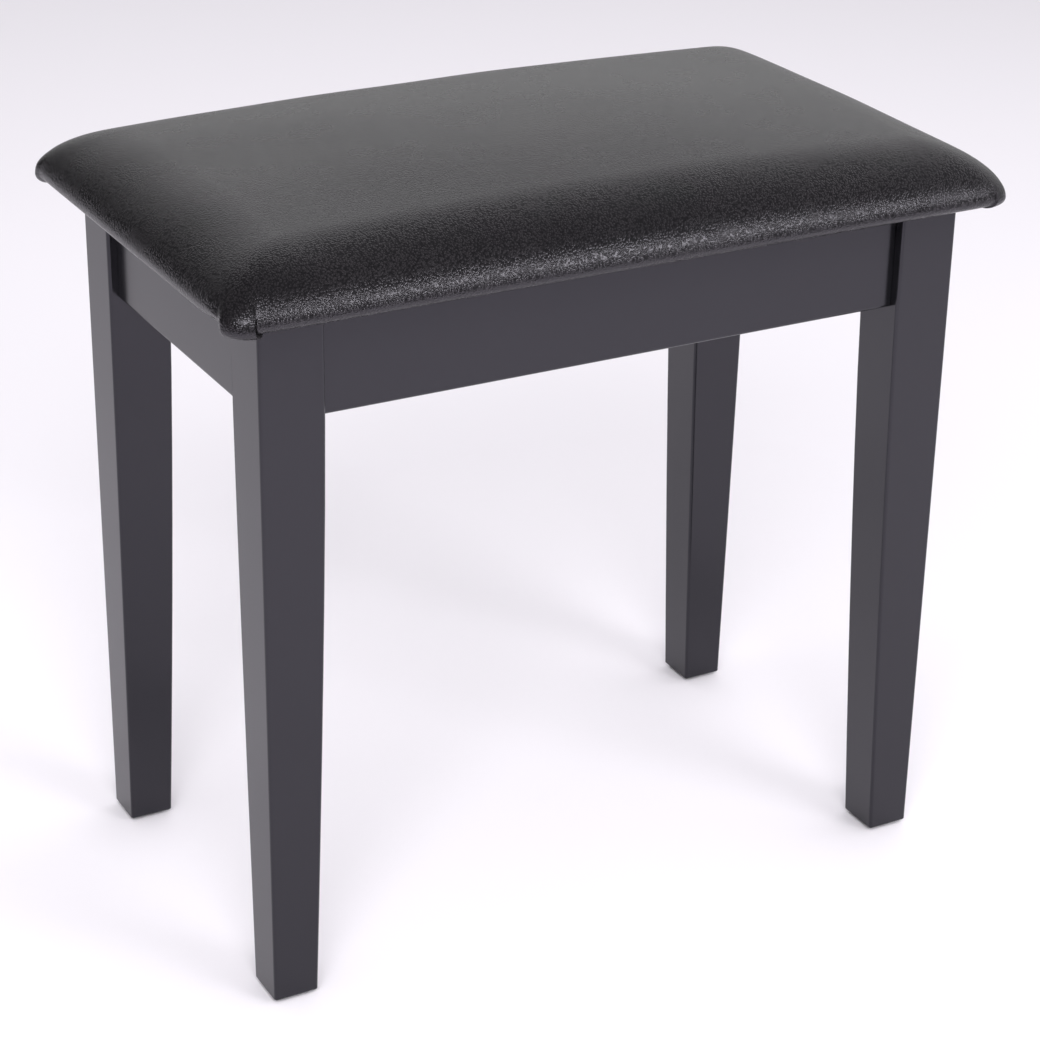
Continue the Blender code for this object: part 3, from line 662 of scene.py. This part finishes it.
def simulatePad():
    # The cover is blown up as cloth on a coarse grid, held at the hem and without gravity. What
    # comes out is where the coarse points are and how far each one moved.
    grid = padSurface(padColumns(pad["coarse"]), padRows(pad["coarse"]))
    mesh, start, place = weldedMesh("pad_cloth", [grid])
    cloth = linkObject("pad_cloth", mesh)
    held = cloth.vertex_groups.new(name="held")
    heldRows = pad["coarse"]["hem"] + 1
    held.add(np.unique(place[:heldRows * grid.shape[1]]).tolist(), 1.0, "REPLACE")
    settings = cloth.modifiers.new("cloth", "CLOTH").settings
    settings.quality = blowUp["quality"]
    settings.mass = blowUp["mass"]
    settings.tension_stiffness = blowUp["stretch"]
    settings.compression_stiffness = blowUp["stretch"]
    settings.shear_stiffness = blowUp["shear"]
    settings.bending_stiffness = blowUp["bend"]
    settings.use_pressure = True
    settings.uniform_pressure_force = blowUp["pressure"]
    settings.effector_weights.gravity = 0
    settings.vertex_group_mass = "held"
    scene = bpy.context.scene
    for number in range(blowUp["frames"]):
        scene.frame_set(number + 1)
    result = cloth.evaluated_get(bpy.context.evaluated_depsgraph_get()).to_mesh()
    after = np.empty(len(result.vertices) * 3)
    result.vertices.foreach_get("co", after)
    scene.frame_set(1)
    bpy.data.objects.remove(cloth, do_unlink=True)
    return start, after.reshape(-1, 3) - start


swell = {    # lengths in mm
    "cap": 1.6, "share": 0.35,      # the most a point moves, and how much of that is kept
    "reach": 13.0,                  # over which the movement is evened out
    "fade": (-2.0, 8.0),            # the movement comes in with height along the profile
    "batch": 2000,                  # points worked on at a time
}


def layOnto(points, coarsePoints, moved):
    # Each fine point moves by the mean movement of the coarse points round it, weighted by a bell
    # of their distance, so that the coarse grid's corners don't show.
    near = 1 / (2 * (swell["reach"] * millimetre) ** 2)
    flat = points.reshape(-1, 3)
    laid = np.empty_like(flat)
    for start in range(0, len(flat), swell["batch"]):
        part = flat[start:start + swell["batch"]]
        between = 2 * part @ coarsePoints.T
        apart = (part ** 2).sum(1)[:, None] + (coarsePoints ** 2).sum(1)[None] - between
        weight = np.exp(-near * np.clip(apart, 0, None))
        laid[start:start + swell["batch"]] = weight @ moved / weight.sum(1, keepdims=True)
    return laid.reshape(points.shape)


ripple = {"seed": 7, "size": 0.11, "height": 0.25, "fade": (10.0, 30.0)}    # height and fade in mm


def makePad(material):
    columns, rows = padColumns(pad["fine"]), padRows(pad["fine"])
    points = padSurface(columns, rows)
    t = rows[5][:, None] / millimetre
    coarsePoints, moved = simulatePad()
    length = np.linalg.norm(moved, axis=-1, keepdims=True) + tiny
    moved = moved * np.minimum(1, swell["cap"] * millimetre / length) * swell["share"]
    points = points + easeIn(t[..., None], *swell["fade"]) * layOnto(points, coarsePoints, moved)
    print("pad cloth: moved up to", round(float(length.max()) / millimetre, 2), "mm before the cap")
    rippled = waviness(points, ripple["seed"], ripple["size"], ripple["height"] * millimetre)
    points[..., 2] += easeIn(t, *ripple["fade"]) * rippled
    points = pleatCorners(points, columns, rows)
    obj = addPiece("leatherette_cover", [points], material)
    thicken(obj, pad["skin"], -1)
    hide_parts("seat_cover")


foamBlock = {
    "inset": 0.0026,      # inside the outside of the cover
    "gap": 0.0003,        # above the board
    "crownFade": 0.25,    # radians of the shoulder over which the crown comes in
    "counts": {"corner": 24, "sideX": 40, "sideY": 24, "base": 8, "shoulder": 22, "closing": 14},
}


def makeFoam(material):
    # The same outline and shoulder as the pad, held inside the cover: the base runs from the middle
    # line out to the edge, then the shoulder climbs from the board to the crowned top.
    counts = foamBlock["counts"]
    widest, topPower = pad["widest"], pad["topPower"]
    width, rise = pad["shoulder"] - foamBlock["inset"], pad["rise"] - foamBlock["inset"]
    bottom = boardBox[1].z + foamBlock["gap"]
    start = math.asin((bottom - widest) / rise)
    rows = []
    for share in np.linspace(1, 0, counts["base"] + 1):
        rows.append((pad["inner"] * share, 0.0, bottom, 0.0, topPower, 0.0))
    for turn in np.linspace(start, math.pi / 2, counts["shoulder"] + 1):
        height = widest + rise * math.sin(turn)
        crowned = easeIn(turn, start, start + foamBlock["crownFade"])
        power = pad["edgePower"] + (topPower - pad["edgePower"]) * math.sin(turn)
        rows.append((0.0, width * math.cos(turn), height, crowned, power, 0.0))
    for share in np.linspace(0, 1, counts["closing"] + 1)[1:]:
        rows.append((pad["inner"] * share, 0.0, widest + rise, 1.0, topPower, 0.0))
    points = padSurface(padColumns(counts), np.array(rows).T)
    foam = addPiece("moulded_foam", [points], material)
    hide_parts("seat_foam")


dustCloth = {
    "corner": 0.006, "thickness": 0.0005,
    "power": 2.0,                   # round corners
    "sag": 0.9,                     # mm, in the open middle of the frame
    "wrinkle": 0.25, "wrinkleSize": 0.05, "seed": 3,
    "counts": {"corner": 12, "sideX": 60, "sideY": 36, "closing": 40},
}


def makeDustCloth(material):
    # A flat sheet with rounded corners whose middle hangs a little:
    # z = middle height - (sag + small waves) * (1 - (x/a)^2) * (1 - (y/b)^2), and flat on the frame.
    halfX, halfY = clothBox[1].x, clothBox[1].y
    corner, power = dustCloth["corner"], dustCloth["power"]
    level = (clothBox[0].z + clothBox[1].z) / 2
    outer = pad["halfX"] - pad["shoulder"] - (halfX - corner)
    rows = [(outer, corner, level, 0.0, power, 0.0)]
    for share in np.linspace(0, 1, dustCloth["counts"]["closing"] + 1):
        rows.append((outer + (halfY - corner) * share, 0.0, level, 0.0, power, 0.0))
    points = padSurface(padColumns(dustCloth["counts"]), np.array(rows[::-1]).T)
    openX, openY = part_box("left_apron")[1].x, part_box("front_apron")[1].y
    insideX = np.clip(1 - (points[..., 0] / openX) ** 2, 0, 1)
    insideY = np.clip(1 - (points[..., 1] / openY) ** 2, 0, 1)
    wrinkle = dustCloth["wrinkle"] * millimetre
    wrinkles = waviness(points, dustCloth["seed"], dustCloth["wrinkleSize"], wrinkle)
    points[..., 2] -= insideX * insideY * (dustCloth["sag"] * millimetre + wrinkles)
    cloth = addPiece("spunbond_dust_cloth", [points], material)
    thicken(cloth, dustCloth["thickness"], 0)
    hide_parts("dust_cloth")


staple = {    # lengths in mm
    "length": 10.0, "wire": 0.55,
    "flattened": 0.5,               # the wire's height, as a share of its width
    "edgeIn": 4.6, "endX": 12.0, "endY": 16.0,    # in from the cloth's edges, and from the rows' ends
    "alongX": 13, "alongY": 7,
    "skew": 0.12, "shift": 1.0,     # the most that one is turned, in radians, or moved
    "sides": 8,
    "places": (-0.5, -0.5, -0.47, 0.47, 0.5, 0.5),      # shares of the length, with
    "widths": (0.0, 0.6, 1.0, 1.0, 0.6, 0.0),           # the share of the wire's width at each
    "seed": 11,
}


def makeStaples(material):
    # Each staple is a rounded bar: a ring of points carried along its length, thinning at both ends,
    # turned a little off the edge's direction by a seeded amount.
    random = np.random.default_rng(staple["seed"])
    spots = []
    reachX = clothBox[1].x - staple["edgeIn"] * millimetre
    reachY = clothBox[1].y - staple["edgeIn"] * millimetre
    for side in (-1, 1):
        for x in np.linspace(-1, 1, staple["alongX"]) * (reachX - staple["endX"] * millimetre):
            spots.append((x, side * reachY, 0.0))
        for y in np.linspace(-1, 1, staple["alongY"]) * (reachY - staple["endY"] * millimetre):
            spots.append((side * reachX, y, math.pi / 2))
    angle = np.linspace(0, math.tau, staple["sides"] + 1)[:-1]
    along = np.array(staple["places"])[:, None] * staple["length"] * millimetre
    full = np.array(staple["widths"])[:, None] * staple["wire"] * millimetre
    level = clothBox[0].z - staple["flattened"] * staple["wire"] * millimetre / 2
    grids = []
    for x, y, direction in spots:
        turn = direction + random.uniform(-staple["skew"], staple["skew"])
        shift = random.uniform(-staple["shift"], staple["shift"]) * millimetre
        side = full * np.cos(angle)
        px = x + along * math.cos(turn) - side * math.sin(turn) + shift
        py = y + along * math.sin(turn) + side * math.cos(turn)
        pz = level + staple["flattened"] * full * np.sin(angle)
        grids.append(np.stack([px, py, pz], axis=-1))
    addPiece("zinc_plated_staples", grids, material)


# Stage

studio = {
    "sky": [(0.0, 0.66), (0.32, 0.74), (0.45, 1.12), (0.54, 1.12), (0.67, 0.33), (1.0, 0.24)],
    "brightSide": (0.85, 0.53, 0.0),     # the way to the bright wall; the other walls are dim
    "dim": 0.07, "dimToBright": (0.20, 0.70),
    "backdrop": 1.15,
    "aim": (0.0, 0.0, 0.35),
    "lights": {
        "overhead": {"place": (0.1, -0.1, 2.4), "size": (7.0, 7.0), "watts": 162, "glossy": False},
        "front": {"place": (1.0, -2.0, 1.15), "size": (0.9, 0.40), "watts": 18, "glossy": True},
        "left": {"place": (-1.0, -1.75, 1.80), "size": (1.5, 0.9), "watts": 40, "glossy": True},
    },
    "floor": {"middle": (0.0, 5.4), "reach": 7.0, "sides": 64, "colour": "#f2eef5"},
}


def makeWorld():
    # The reflections see walls that are bright on one side only and change with height: each pair of
    # the sky is the sine of a height and the brightness there. The camera sees a plain white backdrop.
    world = bpy.data.worlds.new("studio")
    bpy.context.scene.world = world
    world.use_nodes = True
    tree = world.node_tree
    tree.nodes.clear()
    coords = addNode(tree, "TexCoord").outputs["Generated"]
    height = addNode(tree, "SeparateXYZ", {"Vector": coords}).outputs["Z"]
    ramp = addNode(tree, "ValToRGB", {"Fac": height})
    stops = ramp.color_ramp.elements
    while len(stops) < len(studio["sky"]):
        stops.new(0.5)
    for stop, (place, value) in zip(stops, studio["sky"]):
        stop.position = place
        stop.color = (value, value, value, 1)
    towards = addNode(tree, "VectorMath", {0: coords, 1: studio["brightSide"]}, operation="DOT_PRODUCT")
    side = remap(tree, towards.outputs["Value"], studio["dimToBright"], (studio["dim"], 1.0),
                 interpolation_type="SMOOTHSTEP")
    walls = addNode(tree, "Background", {"Color": ramp.outputs["Color"], "Strength": side})
    backdrop = addNode(tree, "Background", {"Color": (1, 1, 1, 1), "Strength": studio["backdrop"]})
    seen = addNode(tree, "LightPath").outputs["Is Camera Ray"]
    mix = addNode(tree, "MixShader", {0: seen, 1: walls.outputs[0], 2: backdrop.outputs[0]})
    addNode(tree, "OutputWorld", {"Surface": mix.outputs[0]})


def makeLight(name, place, size, watts, glossy):
    data = bpy.data.lights.new(name, "AREA")
    data.shape = "RECTANGLE"
    data.size, data.size_y = size
    data.energy = watts
    obj = linkObject(name, data)
    obj.location = place
    aim = Vector(studio["aim"]) - Vector(place)
    obj.rotation_mode = "QUATERNION"
    obj.rotation_quaternion = aim.to_track_quat("-Z", "Y")
    obj.visible_glossy = glossy
    obj.visible_camera = False


def makeFloor():
    # A pale disc under the bench and behind it, which stops a little way in front of it.
    look = studio["floor"]
    material, tree = newMaterial("matt_studio_floor")[:2]
    shader = addNode(tree, "BsdfDiffuse", {"Color": hexColour(look["colour"])})
    addNode(tree, "OutputMaterial", {"Surface": shader.outputs["BSDF"]})
    turn = np.linspace(0, math.tau, look["sides"] + 1)[:-1]
    x = look["middle"][0] + look["reach"] * np.cos(turn)
    y = look["middle"][1] + look["reach"] * np.sin(turn)
    mesh = bpy.data.meshes.new("floor")
    mesh.from_pydata(np.stack([x, y, 0 * turn], axis=-1).tolist(), [], [tuple(range(len(turn)))])
    mesh.materials.append(material)
    floor = linkObject("floor", mesh)


makeCamera()
makeWorld()
for lightName, light in studio["lights"].items():
    makeLight(lightName, **light)
makeFloor()
bpy.context.scene.view_settings.view_transform = "Standard"
print("stage: camera, lights and floor")


# The frame's own nodes, by the ending of their names

longLacquer = satinLacquer("satin_lacquer_long", 0)
crossLacquer = satinLacquer("satin_lacquer_cross", 1)
brightZinc = zincPlate("bright_zinc_plate", "bright")
cadMaterials = {
    "_leg": satinLacquer("satin_lacquer_upright", 2),
    "front_apron": longLacquer,
    "rear_apron": longLacquer,
    "left_apron": crossLacquer,
    "right_apron": crossLacquer,
    "seat_board": birchPlywood("rotary_cut_birch_plywood"),
    "_corner_block": sawnBeech("sawn_beech"),
    "_foot_glide": mouldedNylon("moulded_nylon"),
    "_threaded_insert": zincPlate("yellow_zinc_plate", "yellow"),
}


def dressCad():
    for nodeName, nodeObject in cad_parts.items():
        fitting = [look for ending, look in cadMaterials.items() if nodeName.endswith(ending)]
        nodeObject.data.materials.clear()
        nodeObject.data.materials.append(fitting[0] if fitting else brightZinc)


dressCad()
print("materials: lacquer, wood, metal and nylon on the frame's own nodes")
makePad(embossedLeatherette("embossed_leatherette"))
makeFoam(openCellFoam("open_cell_foam"))
makeDustCloth(spunbondCloth("spunbond_cloth"))
makeStaples(brightZinc)
print("seat: cover, foam, dust cloth and staples")
